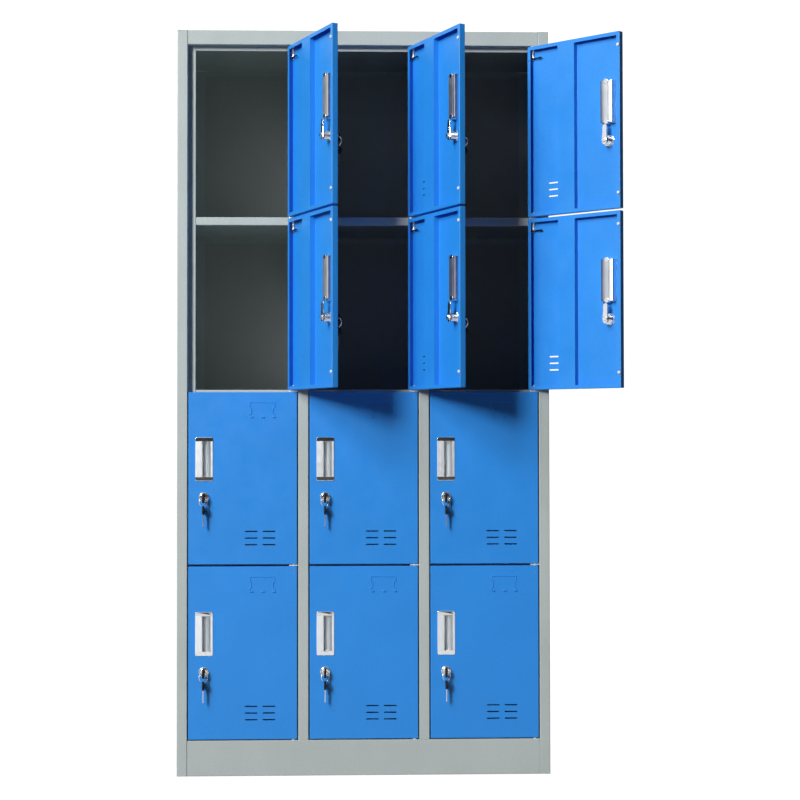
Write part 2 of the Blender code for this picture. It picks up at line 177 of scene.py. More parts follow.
def inset(outline, distance):
    """The outline moved inwards by a small distance at every corner."""
    points = [Vector(p[:2]) for p in outline]
    area = sum(a.x * b.y - b.x * a.y for a, b in zip(points, points[1:] + points[:1]))
    side = 1 if area > 0 else -1
    moved_points = []
    for i, point in enumerate(points):
        before = (point - points[i - 1]).normalized()
        after = (points[(i + 1) % len(points)] - point).normalized()
        normal = Vector((-(before + after).y, (before + after).x)).normalized()
        moved_points.append(point + normal * side * distance)
    return moved_points


def fillet(points, radius, closed=False, steps=5):
    """The points with each corner turned through an arc."""
    points = [Vector(p[:2]) for p in points]
    count = len(points)
    out = []
    for i, corner in enumerate(points):
        if not closed and i in (0, count - 1):
            out.append(corner)
            continue
        u = points[i - 1] - corner
        v = points[(i + 1) % count] - corner
        half = u.angle(v) / 2
        reach = min(radius / math.tan(half), u.length / 2.01, v.length / 2.01)
        arc = reach * math.tan(half)
        centre = corner + (u.normalized() + v.normalized()).normalized() * arc / math.sin(half)
        start = corner + u.normalized() * reach - centre
        sweep = start.angle_signed(corner + v.normalized() * reach - centre)
        for k in range(steps + 1):
            turned_by = Matrix.Rotation(-sweep * k / steps, 2)
            out.append(centre + turned_by @ start)
    return out


def mitres(line):
    """A vector across the line at each point, longer at a bend so that a width holds through it."""
    out = []
    for i, point in enumerate(line):
        steps = []
        if i:
            steps.append((point - line[i - 1]).normalized())
        if i + 1 < len(line):
            steps.append((line[i + 1] - point).normalized())
        along = sum(steps, Vector((0, 0))).normalized()
        out.append(Vector((-along.y, along.x)) / max(0.5, along.dot(steps[0])))
    return out


def sheet(path, radius=BEND):
    """The outline of a sheet folded along a path with rounded bends."""
    line = fillet(path, radius)
    halves = [across * SHEET / 2 for across in mitres(line)]
    sides = [[p + way * half for p, half in zip(line, halves)] for way in (1, -1)]
    return sides[0] + sides[1][::-1]


def rectangle(low, high):
    return [(low[0], low[1]), (high[0], low[1]), (high[0], high[1]), (low[0], high[1])]


def box(low, high):
    return prism(rectangle(low, high), low[2], high[2])


def around(sides):
    return [2 * math.pi * i / sides for i in range(sides)]


def ellipse(radius_u, radius_v, sides, centre=(0, 0)):
    u, v = centre
    return [(u + radius_u * math.cos(t), v + radius_v * math.sin(t)) for t in around(sides)]


def turned(profile, sides, closed=False):
    """A profile of (radius, y) turned about the Y axis; a closed profile makes a ring."""
    turns = around(sides)
    loops = [[(r * math.cos(t), y, r * math.sin(t)) for t in turns] for r, y in profile]
    return skin(loops, closed)


def loop_tube(radius, wire, sides=40, wire_sides=10):
    """A ring of wire about the Y axis."""
    profile = [(radius + wire * math.cos(t), wire * math.sin(t)) for t in around(wire_sides)]
    return turned(profile, sides, closed=True)


def smooth_line(points, steps=6):
    """A smooth curve through the points."""
    points = [Vector(p) for p in points]
    ends = [2 * points[0] - points[1]] + points + [2 * points[-1] - points[-2]]
    out = []
    for i in range(1, len(ends) - 2):
        p0, p1, p2, p3 = ends[i - 1 : i + 3]
        for k in range(steps):
            t = k / steps
            slope = (p2 - p0) * t + (2 * p0 - 5 * p1 + 4 * p2 - p3) * t**2
            out.append(p1 + 0.5 * (slope + (3 * p1 - p0 - 3 * p2 + p3) * t**3))
    return out + [points[-1]]


# ---------------------------------------------------------------- meshes and pieces


def raw_mesh(name, shape):
    """A mesh of the shape with its faces turned outwards."""
    mesh = bpy.data.meshes.new(name)
    mesh.from_pydata([tuple(p) for p in shape[0]], [], shape[1])
    work = bmesh.new()
    work.from_mesh(mesh)
    bmesh.ops.recalc_face_normals(work, faces=work.faces)
    work.to_mesh(mesh)
    work.free()
    return mesh


def mesh_of(name, shape, material, angle=32):
    """The shape as a finished mesh: one material, smooth below the angle and sharp above it."""
    mesh = raw_mesh(name, shape)
    mesh.materials.append(material)
    mesh.shade_smooth()
    mesh.set_sharp_from_angle(angle=math.radians(angle))
    return mesh


def shape_of(mesh):
    return [v.co.copy() for v in mesh.vertices], [tuple(p.vertices) for p in mesh.polygons]


def rounded_box(low, high, radius, segments=3):
    mesh = raw_mesh("rounded", box(low, high))
    work = bmesh.new()
    work.from_mesh(mesh)
    bmesh.ops.bevel(
        work, geom=work.edges[:], offset=radius, segments=segments, profile=0.5, affect="EDGES"
    )
    work.to_mesh(mesh)
    work.free()
    shape = shape_of(mesh)
    bpy.data.meshes.remove(mesh)
    return shape


def carved(name, base, cutters):
    """The base shape after each cutter in turn is taken out of it."""
    body = bpy.data.objects.new(name + "_work", raw_mesh(name, base))
    bpy.context.scene.collection.objects.link(body)
    helpers = []
    for shape in cutters:
        helper = bpy.data.objects.new(name + "_helper", raw_mesh(name + "_helper", shape))
        bpy.context.scene.collection.objects.link(helper)
        modifier = body.modifiers.new("step", "BOOLEAN")
        modifier.operation = "DIFFERENCE"
        modifier.solver = "EXACT"
        modifier.object = helper
        helpers.append(helper)
    graph = bpy.context.evaluated_depsgraph_get()
    made = bpy.data.meshes.new_from_object(body.evaluated_get(graph))
    shape = shape_of(made)
    for helper in helpers + [body]:
        bpy.data.objects.remove(helper, do_unlink=True)
    bpy.data.meshes.remove(made)
    return shape


def piece(name, mesh, body, matrix=None, replaced=(), flat_shading=False):
    """A visible piece that rides on a CAD body."""
    thing = bpy.data.objects.new(name, mesh)
    bpy.context.scene.collection.objects.link(thing)
    thing.matrix_world = matrix or Matrix()
    if not flat_shading:
        modifier = thing.modifiers.new("flat_faces", "WEIGHTED_NORMAL")
        modifier.keep_sharp = True
    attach(thing, body)
    if replaced:
        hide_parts(*replaced)
    return thing


# ---------------------------------------------------------------- materials


class Nodes:
    """Adds nodes to one tree. An input takes a value, or the socket of another node."""

    def __init__(self, tree):
        self.tree = tree

    def feed(self, node, inputs):
        for key, value in inputs.items():
            if isinstance(value, bpy.types.NodeSocket):
                self.tree.links.new(value, node.inputs[key])
            else:
                node.inputs[key].default_value = value

    def add(self, kind, inputs=None, **settings):
        node = self.tree.nodes.new("ShaderNode" + kind)
        for key, value in settings.items():
            setattr(node, key, value)
        self.feed(node, inputs or {})
        return node

    def spread(self, source, low, high, start=0.35, end=0.65):
        """A value that runs from low to high as the source runs from start to end."""
        inputs = {"Value": source, "From Min": start, "From Max": end, "To Min": low, "To Max": high}
        return self.add("MapRange", inputs).outputs["Result"]


class Surface(Nodes):
    """The nodes of one new material."""

    def __init__(self, name):
        self.material = bpy.data.materials.new(name)
        self.material.use_nodes = True
        super().__init__(self.material.node_tree)
        self.shader = self.tree.nodes["Principled BSDF"]
        self.coords = self.add("TexCoord").outputs["Object"]

    def stretched(self, scale):
        """Object coordinates multiplied by a scale for each axis."""
        return self.add("Mapping", {"Scale": scale, "Vector": self.coords}).outputs["Vector"]

    def noise(self, scale, detail=3.0, roughness=0.55, coords=None):
        inputs = {"Scale": scale, "Detail": detail, "Roughness": roughness}
        inputs["Vector"] = coords or self.coords
        return self.add("TexNoise", inputs).outputs["Fac"]

    def blend(self, factor, first, second):
        """A colour between two, each a colour or a socket."""
        return self.add("Mix", {0: factor, 6: first, 7: second}, data_type="RGBA").outputs[2]

    def scaled(self, colour, factor):
        """A colour socket multiplied by a number."""
        return self.add("VectorMath", {0: colour, "Scale": factor}, operation="SCALE").outputs[0]

    def bump(self, height, strength, distance, normal=None):
        inputs = {"Height": height, "Strength": strength, "Distance": distance}
        if normal:
            inputs["Normal"] = normal
        return self.add("Bump", inputs).outputs["Normal"]

    def edge_mask(self, radius):
        """Near 1 on sharp edges and 0 on flat faces."""
        rounded = self.add("Bevel", {"Radius": radius}, samples=4).outputs["Normal"]
        flat = self.add("NewGeometry").outputs["Normal"]
        dot = self.add("VectorMath", {0: rounded, 1: flat}, operation="DOT_PRODUCT")
        return self.spread(dot.outputs["Value"], 1.0, 0.0, 0.80, 0.99)

    def shade(self, **inputs):
        """Feeds the shader, with _ for a space in an input's name, and gives the material."""
        self.feed(self.shader, {key.replace("_", " "): inputs[key] for key in inputs})
        return self.material


def tint(colour, factor):
    return tuple(min(1.0, c * factor) for c in colour[:3]) + (1.0,)


def powder_coat(name, colour, edge_wear_and_highlight, roughness):
    """Satin powder coat: fine orange peel, faint mottling, handling marks, and edges lightened in
    patches, partly as rub wear and partly as a painted highlight along the bends.
    """
    n = Surface(name)
    mottle = n.spread(n.noise(5.0, 4.0), 0.0, 1.0)
    base = n.blend(mottle, tint(colour, 0.965), tint(colour, 1.035))
    grain = n.spread(n.noise(270.0, 3.0, 0.6), 0.0, 1.0, 0.30, 0.70)
    base = n.blend(grain, n.scaled(base, 0.945), n.scaled(base, 1.055))
    marks = n.spread(n.noise(38.0, 6.0, 0.7, n.stretched((1.0, 1.0, 0.35))), 0.0, 0.10, 0.56, 0.74)
    base = n.blend(marks, base, tint(colour, 0.86))
    # Lighter colour on sharp edges: partly rub wear, partly a painted highlight along the bends.
    patchy = n.spread(n.noise(60.0, 4.0), 0.20, 0.70)
    rub_and_highlight = n.add("Math", {0: n.edge_mask(0.9 * MM), 1: patchy}, operation="MULTIPLY").outputs[0]
    peel = n.bump(n.noise(420.0, 2.0), 0.22, 0.3 * MM)
    return n.shade(
        Base_Color=n.blend(rub_and_highlight, base, edge_wear_and_highlight),
        Roughness=n.spread(n.noise(22.0, 5.0, 0.6), roughness - 0.05, roughness + 0.07),
        Normal=n.bump(n.noise(16.0, 1.0), 0.10, 1.2 * MM, peel),
        Metallic=0.0,
        Coat_Weight=0.06,
        Coat_Roughness=0.25,
    )


# Depth into the door over which the pull's colour turns darker: painted shade in the door's recess.
PAINTED_SHADE_FROM = (9 * MM, 11 * MM)


def brushed_aluminium(name, colour):
    """Satin anodised extrusion with fine lines along Z; its part inside the door is painted darker, as
    painted shade.
    """
    n = Surface(name)
    lines = n.noise(2600.0, 2.0, 0.5, n.stretched((1.0, 1.0, 0.006)))
    brushed_colour = n.blend(lines, tint(colour, 0.96), tint(colour, 1.03))
    # Painted shade: the colour darkens to two thirds deeper than about 10 mm into the door.
    depth = n.add("SeparateXYZ", {0: n.coords}).outputs["Y"]
    inside = n.spread(depth, 0.0, 1.0, *PAINTED_SHADE_FROM)
    return n.shade(
        Base_Color=n.blend(inside, brushed_colour, n.scaled(brushed_colour, 0.66)),
        Roughness=n.spread(n.noise(60.0, 3.0), 0.38, 0.46),
        Normal=n.bump(lines, 0.05, 0.03 * MM),
        Metallic=1.0,
    )


def plated(name, colour, roughness, scratch=0.05):
    """Bright plating with hairline scratches and slightly uneven polish."""
    n = Surface(name)
    hairlines = n.noise(2400.0, 2.0, 0.5, n.stretched((1, 0.15, 1)))
    return n.shade(
        Base_Color=n.blend(n.noise(140.0, 3.0), tint(colour, 0.93), tint(colour, 1.04)),
        Roughness=n.spread(n.noise(420.0, 4.0, 0.7), roughness, roughness + 0.12),
        Normal=n.bump(hairlines, scratch, 0.05 * MM),
        Metallic=1.0,
    )


def moulded(name, colour, roughness):
    """Moulded plastic or rubber with a fine grain and faint gloss changes."""
    n = Surface(name)
    return n.shade(
        Base_Color=n.blend(n.noise(90.0, 4.0), tint(colour, 0.85), tint(colour, 1.15)),
        Roughness=n.spread(n.noise(300.0, 3.0), roughness - 0.06, roughness + 0.10),
        Normal=n.bump(n.noise(1500.0, 2.0), 0.2, 0.06 * MM),
        Metallic=0.0,
        Specular_IOR_Level=0.22,
    )


# The last colour of each coat is its lighter edge colour: rub wear together with a painted highlight at
# the bends.
GREY = powder_coat("grey_powder_coat", (0.462, 0.522, 0.516), (0.70, 0.74, 0.74, 1.0), 0.42)
# A darker copy of the grey coat for the back panel: painted shade for the inside of the cabinet.
PAINTED_SHADE_GREY = powder_coat("back_grey_in_painted_shade", (0.430, 0.445, 0.435), (0.66, 0.68, 0.67, 1.0), 0.45)
BLUE = powder_coat("blue_powder_coat", (0.021, 0.268, 0.800), (0.13, 0.45, 0.92, 1.0), 0.40)
ALUMINIUM = brushed_aluminium("brushed_aluminium", (0.84, 0.88, 0.91))
CHROME = plated("chrome_plate", (0.80, 0.81, 0.82), 0.06)
ZINC = plated("zinc_plate", (0.84, 0.85, 0.84), 0.32, 0.10)
NICKEL = plated("nickel_key", (0.66, 0.66, 0.64), 0.16, 0.10)
BLACK = moulded("black_plastic", (0.005, 0.005, 0.006), 0.45)
RUBBER = moulded("pale_rubber", (0.80, 0.79, 0.78), 0.5)


# ---------------------------------------------------------------- carcass


def opening_left(column):
    return -WIDTH / 2 + POST + column * COLUMN_PITCH


def post_centre(number):
    return opening_left(number) + OPENING + POST / 2


def boundary(level):
    return PLINTH + level * ROW_PITCH


STOP_Y = FRONT_Y + STOP_DEPTH + SHEET / 2
PAN_REAR = BACK_Y - 2 * SHEET - 2 * GAP - SHEET / 2
HEM = 3 * MM
HEM_RADIUS = 0.6 * MM


def mirrored(outline, side):
    return [(side * p[0], p[1]) for p in outline]


def hemmed_lip(wall_x, lip_x, y):
    """A stop lip with its free edge folded back on itself, as (x, y) points from the wall."""
    inward = math.copysign(1, lip_x - wall_x)
    tip = lip_x - inward * HEM_RADIUS
    return [(wall_x, y), (tip, y), (tip, y + 2 * HEM_RADIUS), (tip - inward * HEM, y + 2 * HEM_RADIUS)]


def side_panel(side):
    outer = WIDTH / 2 - SHEET / 2
    wall = WIDTH / 2 - POST + SHEET / 2
    face = FRONT_Y + SHEET / 2
    rear = BACK_Y - SHEET - GAP - SHEET / 2
    flange = WIDTH / 2 - REAR_FLANGE - SHEET
    plain = [(wall, STOP_Y + SHEET / 2), (wall, face), (outer, face), (outer, rear), (flange, rear)]
    lip = hemmed_lip(wall, WIDTH / 2 - POST - STOP_LIP, STOP_Y)[::-1]
    lipped = lip + plain[1:]
    low, high = PLINTH + GAP, HEIGHT - RAIL - GAP
    shape = merge(
        prism(mirrored(sheet(plain), side), 0.0, low),
        prism(mirrored(sheet(lipped), side), low, high),
        prism(mirrored(sheet(plain), side), high, HEIGHT - SHEET - GAP),
    )
    name = "right_side_panel" if side > 0 else "left_side_panel"
    mesh = mesh_of(name + "_sheet", shape, GREY)
    piece(name + "_sheet", mesh, "carcass", replaced=[name])


def middle_post(number, name):
    centre = post_centre(number)
    half = POST / 2 - SHEET / 2
    face = FRONT_Y + SHEET / 2
    low, high = PLINTH + GAP, HEIGHT - RAIL - GAP
    right = hemmed_lip(half, POST / 2 + STOP_LIP, STOP_Y)
    left = [(-x, y) for x, y in right][::-1]
    path = left + [(-half, face), (half, face)] + right
    hat = [(centre + p[0], p[1]) for p in sheet(path)]
    web = SHEET * 0.6
    rear = BACK_Y - SHEET - GAP
    behind = FRONT_Y + STOP_DEPTH + 2 * SHEET + 3 * GAP
    shape = merge(
        prism(hat, low, high),
        box((centre - web, FRONT_Y + 2 * SHEET, low), (centre + web, rear, high)),
        box((centre - web, behind, high), (centre + web, rear, HEIGHT - SHEET - GAP)),
    )
    mesh = mesh_of(name + "_sheet", shape, GREY)
    piece(name + "_sheet", mesh, "carcass", replaced=[name])


def hinge_leaves():
    """Zinc leaves between the rows that carry the doors' pivot pins, and washers at rail and plinth."""
    shapes = []
    for column in range(COLUMNS):
        right = opening_left(column) + OPENING
        pivot_x = right - 2.5 * MM - PIVOT_FROM_EDGE
        pivot_y = FRONT_Y + PIVOT_FROM_FACE
        corners = rectangle(
            (right - LEAF_LENGTH, FRONT_Y + 0.1 * MM), (right - GAP, FRONT_Y + LEAF_DEPTH)
        )
        outline = fillet(corners, 2.2 * MM, closed=True)
        for level in range(1, ROWS):
            middle = boundary(level)
            low, high = middle - LEAF_THICKNESS / 2, middle + LEAF_THICKNESS / 2
            shapes.append(plate(outline, low, high, "XY", 0.35 * MM))
        for low in (PLINTH + 0.05 * MM, HEIGHT - RAIL - 1.15 * MM):
            disc = ellipse(5.5 * MM, 3.2 * MM, 24, (pivot_x, pivot_y))
            shapes.append(plate(disc, low, low + 1.1 * MM, "XY", 0.25 * MM))
    mesh = mesh_of("hinge_leaves", merge(*shapes), ZINC)
    piece("hinge_leaves", mesh, "carcass")


def top_panel():
    face = FRONT_Y + SHEET / 2
    stop = STOP_Y + SHEET + GAP
    top = HEIGHT - SHEET / 2
    under = HEIGHT - RAIL + SHEET / 2
    split = FRONT_Y + RAIL_PIECE_DEPTH
    tip = under - RAIL_LIP - SHEET / 2 + HEM_RADIUS
    path = [
        (split, top),
        (face, top),
        (face, under),
        (stop, under),
        (stop, tip),
        (stop + 2 * HEM_RADIUS, tip),
        (stop + 2 * HEM_RADIUS, tip + HEM),
    ]
    half = WIDTH / 2 - POST - SEAM
    rail = prism(sheet(path), -half, half, "YZ")
    rear_path = [(split, top), (PAN_REAR, top), (PAN_REAR, top - PAN_REAR_FLANGE)]
    rear = prism(sheet(rear_path), -half, half, "YZ")
    low, high = HEIGHT - SHEET, HEIGHT
    ends = []
    for side in (-1, 1):
        inner, outer = sorted((side * half, side * WIDTH / 2))
        ends.append(rounded_box((inner, FRONT_Y, low), (outer, PAN_REAR + SHEET / 2, high), 0.4 * MM))
    mesh = mesh_of("top_panel_sheet", merge(rail, rear, *ends), GREY)
    piece("top_panel_sheet", mesh, "carcass", replaced=["top_panel"])


def base_panel():
    face = FRONT_Y + SHEET / 2
    top = PLINTH - SHEET / 2
    split = FRONT_Y + RAIL_PIECE_DEPTH
    half = WIDTH / 2 - POST - SEAM
    wide = WIDTH / 2 - SHEET - GAP
    front = [(FRONT_Y + FLOOR_FLANGE, SHEET / 2), (face, SHEET / 2), (face, top), (split, top)]
    rear = [(FRONT_Y + 22 * MM, top), (PAN_REAR, top), (PAN_REAR, top - PAN_REAR_FLANGE)]
    ends = []
    for side in (-1, 1):
        inner, outer = sorted((side * half, side * wide))
        ends.append(prism(sheet(rear), inner, outer, "YZ"))
    middle = prism(sheet([(split, top)] + rear[1:]), -half, half, "YZ")
    shape = merge(prism(sheet(front), -half, half, "YZ"), middle, *ends)
    mesh = mesh_of("base_plinth_sheet", shape, GREY)
    piece("base_plinth_sheet", mesh, "carcass", replaced=["base_plinth"])


def shelf(row, column):
    middle = boundary(ROWS - row) - SHELF_DROP
    top = middle + SHELF_FRONT / 2 - SHEET / 2
    bottom = middle - SHELF_FRONT / 2 + SHEET / 2
    face = STOP_Y + SHEET + GAP
    path = [
        (face + SHELF_RETURN, bottom),
        (face, bottom),
        (face, top),
        (PAN_REAR, top),
        (PAN_REAR, top - PAN_REAR_FLANGE),
    ]
    name = f"shelf_row{row}_col{column + 1}"
    low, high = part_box(name)
    mesh = mesh_of(name + "_sheet", prism(sheet(path, radius=2.0 * MM), low[0], high[0], "YZ"), GREY)
    piece(name + "_sheet", mesh, "carcass", replaced=[name])


def rivet(radius, height):
    """A domed rivet head about -Y, its base at y = 0."""
    steps = 5
    profile = [(radius, 0.0)]
    for k in range(1, steps):
        angle = math.pi / 2 * k / steps
        profile.append((radius * math.cos(angle), -height * math.sin(angle)))
    profile.append((radius * 0.06, -height))
    return turned(profile, 16)


def rivets():
    """Rivets that hold the back panel to the rear flanges of the top, shelves, base and sides."""
    shapes = []
    half = WIDTH / 2 - REAR_FLANGE / 2 - SHEET
    inside = PAN_REAR - SHEET / 2
    for column in range(COLUMNS):
        left = opening_left(column)
        for level in range(1, ROWS + 1):
            z = boundary(level) - SHELF_DROP + SHELF_FRONT / 2 - PAN_REAR_FLANGE / 2
            if level == ROWS:
                z = HEIGHT - 6 * MM
            for share in (0.10, 0.42, 0.74):
                x = left + OPENING * share
                shapes.append(shifted(rivet(3.2 * MM, 1.5 * MM), x, inside, z))
                outside = moved(rivet(3.2 * MM, 1.2 * MM), Matrix.Rotation(math.pi, 4, "Z"))
                shapes.append(shifted(outside, x, BACK_Y, z))
    flange_face = BACK_Y - 2 * SHEET - GAP
    for side in (-1, 1):
        for level in range(ROWS):
            for share in (0.12, 0.5, 0.88):
                z = boundary(level) + ROW_PITCH * share
                shapes.append(shifted(rivet(2.6 * MM, 1.2 * MM), side * half, flange_face, z))
    mesh = mesh_of("back_rivets", merge(*shapes), GREY, 50)
    piece("back_rivets", mesh, "carcass", flat_shading=True)


def back_panel():
    """The flat back sheet with softened edges, in a darker copy of the grey coat that paints in the
    interior's shade.
    """
    shape = rounded_box((-WIDTH / 2, BACK_Y - SHEET, 0.0), (WIDTH / 2, BACK_Y, HEIGHT), 0.35 * MM)
    mesh = mesh_of("back_panel_sheet", shape, PAINTED_SHADE_GREY)
    piece("back_panel_sheet", mesh, "carcass", replaced=["back_panel"])


# ---------------------------------------------------------------- door, in the door's own frame


def door_x(s):
    return PIVOT_FROM_EDGE - DOOR_WIDTH + s


def door_y(d):
    return d - PIVOT_FROM_FACE


def door_box(s, d, z):
    """A box from ranges of s, d and z in the door's frame."""
    return box((door_x(s[0]), door_y(d[0]), z[0]), (door_x(s[1]), door_y(d[1]), z[1]))


def door_hole(outline, depths):
    """An outline of (x, z) in the door's frame, cut through a range of depths."""
    return prism(outline, door_y(depths[0]), door_y(depths[1]), "XZ")


def door_pockets():
    """The hollows to the left of the stiffener, inside it and to its right."""
    pockets = []
    for s in (
        (SHEET, STIFFENER[0]),
        (STIFFENER[0] + SHEET, STIFFENER[1] - SHEET),
        (STIFFENER[1], DOOR_WIDTH - SHEET),
    ):
        low = (door_x(s[0]), door_y(SHEET), SHEET)
        high = (door_x(s[1]), door_y(DOOR_THICKNESS - SHEET), DOOR_HEIGHT - SHEET)
        pockets.append(rounded_box(low, high, 0.7 * MM, 2))
    return merge(*pockets)


def door_mouths():
    """The openings inside the lips, to both sides of the stiffener."""
    depths = (DOOR_THICKNESS - 2 * SHEET, DOOR_THICKNESS + SHEET)
    heights = (DOOR_LIP, DOOR_HEIGHT - DOOR_LIP)
    left = door_box((DOOR_LIP, STIFFENER[0]), depths, heights)
    return merge(left, door_box((STIFFENER[1], DOOR_WIDTH - DOOR_LIP), depths, heights))


def vent_slots(depths):
    holes = []
    for centre in SLOT_CENTRES:
        for number in range(SLOT_ROWS):
            z = SLOT_LOWEST + number * SLOT_PITCH
            corners = rectangle(
                (door_x(centre - SLOT_SIZE[0] / 2), z),
                (door_x(centre + SLOT_SIZE[0] / 2), z + SLOT_SIZE[1]),
            )
            holes.append(door_hole(fillet(corners, 1.2 * MM, closed=True), depths))
    return holes


def tab_slits():
    """Slits behind the label holder's lanced tabs."""
    holes = []
    for share in TAB_SHARES:
        s = LABEL[0] + LABEL[2] * share
        z = LABEL[1] + 2.9 * MM
        corners = rectangle((door_x(s - 2.6 * MM), z), (door_x(s + 2.6 * MM), z + 0.9 * MM))
        holes.append(door_hole(fillet(corners, 0.6 * MM, closed=True), (-SHEET, 2 * SHEET)))
    return holes


def door_holes():
    """Slots, the pull's and the lock's holes, tab slits and two small holes in the hinge lip."""
    through = (-2 * SHEET, 2 * SHEET)
    (s, z), (wide, tall) = PULL_CORNER, PULL_SIZE
    rim = 2.7 * MM
    pull = door_box((s + rim, s + wide - rim), through, (z + rim, z + tall - rim))
    middle = (door_x(LOCK_POINT[0]), LOCK_POINT[1])
    ring = ellipse(LOCK_HOLE_RADIUS, LOCK_HOLE_RADIUS, 40, middle)
    holes = vent_slots(through) + [pull, door_hole(ring, through)] + tab_slits()
    lip_depths = (DOOR_THICKNESS - 2 * SHEET, DOOR_THICKNESS + SHEET)
    lip_hole_x = door_x(DOOR_WIDTH - DOOR_LIP / 2)
    for z in (LIP_HOLE_FROM_END, DOOR_HEIGHT - LIP_HOLE_FROM_END):
        holes.append(door_hole(ellipse(1.4 * MM, 1.4 * MM, 14, (lip_hole_x, z)), lip_depths))
    return merge(*holes)


def door_shell():
    low = (door_x(0), door_y(0), 0)
    high = (PIVOT_FROM_EDGE, door_y(DOOR_THICKNESS), DOOR_HEIGHT)
    base = rounded_box(low, high, 1.5 * MM, 4)
    return carved("door_shell", base, [door_pockets(), door_mouths(), door_holes()])


def ridge(path, width, height):
    """A pressed ridge along a path of (s, z) points on the outer face, standing out by height."""
    points = [Vector(p[:2]) for p in path]
    profile = [(-0.5, 0.25), (-0.32, -0.72), (0.0, -1.0), (0.32, -0.72), (0.5, 0.25)]
    loops = []
    for point, across in zip(points, mitres(points)):
        places = [(point + across * width * u, door_y(h * height)) for u, h in profile]
        loops.append([(door_x(at.x), y, at.y) for at, y in places])
    return skin(loops)


def label_holder():
    """The pressed outline of a card holder with stepped sides, and three lanced tabs under it."""
    s, z, wide, tall = LABEL
    step = 4 * MM
    right = s + wide
    top = z + tall
    path = [
        (s, z + 4 * MM),
        (s, z + 11 * MM),
        (s + step, z + 12.5 * MM),
        (s + step, z + 26 * MM),
        (s, z + 27.5 * MM),
        (s, top),
        (right, top),
        (right, z + 27.5 * MM),
        (right - step, z + 26 * MM),
        (right - step, z + 12.5 * MM),
        (right, z + 11 * MM),
        (right, z + 4 * MM),
    ]
    shapes = [ridge(fillet(path, 1.2 * MM), 2.4 * MM, 1.5 * MM)]
    for share in TAB_SHARES:
        centre = s + wide * share
        arc = [(centre + u * MM, z + v * MM) for u, v in ((-3.2, 3.0), (0.0, 3.8), (3.2, 3.0))]
        shapes.append(ridge(smooth_line(arc), 4.4 * MM, 2.8 * MM))
    return merge(*shapes)


def pull_section():
    """Outline of the pull's profile as (u, d): u from its free-edge side, d from the door's face."""
    lip = [(0.0, -0.3), (0.0, -1.4), (0.5, -1.8), (5.6, -1.8), (6.1, -1.3), (7.1, -1.3), (7.6, -1.8)]
    tip = [(14.9, -1.8), (15.9, -1.5), (16.4, -0.6), (16.3, 1.6), (15.6, 2.3), (14.9, 1.7), (14.6, 0.6)]
    hook = [(13.8, 0.1), (8.0, 0.1), (6.0, 1.2)]
    scoop = [(5.2, 3.5), (4.9, 8.5), (7.0, 13.2), (12.5, 15.4), (19.0, 14.6), (26.0, 10.9), (32.0, 5.6)]
    rim = [(35.6, 0.6), (36.6, -1.2), (37.3, -1.8), (41.5, -1.8), (42.0, -1.4), (42.0, -0.3)]
    back = [(39.0, 6.0), (38.4, 11.0), (36.2, 14.4), (32.0, 16.2), (26.0, 17.0), (19.4, 17.2)]
    groove = [(14.0, 17.2), (13.4, 15.6), (11.8, 15.6), (11.2, 17.2), (5.6, 17.0)]
    side = [(3.8, 16.0), (3.1, 14.0), (3.1, -0.3)]
    smooth = [tuple(p) for p in smooth_line([(x, y, 0) for x, y in scoop + rim[:1]], 4)]
    bulge = [tuple(p) for p in smooth_line([(x, y, 0) for x, y in back], 3)]
    points = lip + tip + hook + smooth + rim[1:] + [(39.0, -0.3)] + bulge + groove + side
    return [(door_x(PULL_CORNER[0] + p[0] * MM), door_y(p[1] * MM)) for p in points]


def pull_body():
    """The profile, which ends a little inside the caps."""
    under_cap = PULL_CAP * 0.33
    low = PULL_CORNER[1] + under_cap
    return prism(pull_section(), low, PULL_CORNER[1] + PULL_SIZE[1] - under_cap)


def pull_caps():
    """Two end caps: a rounded face plate over a block that closes the scoop."""
    s, z = PULL_CORNER
    wide, tall = PULL_SIZE
    shapes = []
    for upper in (False, True):
        low, high = (z + tall - PULL_CAP, z + tall) if upper else (z, z + PULL_CAP)
        outer, inner = (high, low) if upper else (low, high)
        way = 1 if upper else -1
        corner = 3.5 * MM
        left, right = door_x(s) - 0.1 * MM, door_x(s + wide) + 0.1 * MM
        arc = [
            (left + corner * (1 - math.cos(t)), outer - way * corner * (1 - math.sin(t)))
            for t in [math.pi / 2 * k / 5 for k in range(6)]
        ]
        crown = [(door_x(s + wide / 2), outer)]
        other = [(left + right - x, v) for x, v in arc[::-1]]
        outline = [(left, inner)] + arc + crown + other + [(right, inner)]
        shapes.append(plate(outline, door_y(-2.4 * MM), door_y(-0.35 * MM), "XZ", 0.95 * MM))
        corners = [(5.3, -0.5), (5.1, 8.6), (12.5, 15.2), (19.0, 14.4), (32.0, 5.4), (36.0, -0.5)]
        block = [(door_x(s + u * MM), door_y(d * MM)) for u, d in corners]
        low_block, high_block = sorted((outer - way * 5.0 * MM, inner))
        shapes.append(plate(block, low_block, high_block, "XY", 0.5 * MM))
        clip = ellipse(6.4 * MM, 6.4 * MM, 28, (door_x(s + 20 * MM), outer - way * 5.0 * MM))
        shapes.append(plate(clip, door_y(1.2 * MM), door_y(17.9 * MM), "XZ", 0.8 * MM))
    return merge(*shapes)


def screw_thread(radius, start, end, pitch, depth, sides):
    """A threaded barrel about Y, as rings of crests and roots."""
    profile = [(radius - depth, start)]
    y = start
    while y + pitch <= end:
        profile += [(radius - depth, y), (radius, y + pitch * 0.35)]
        profile += [(radius, y + pitch * 0.5), (radius - depth, y + pitch * 0.85)]
        y += pitch
    profile.append((radius - depth, end))
    return turned(profile, sides)


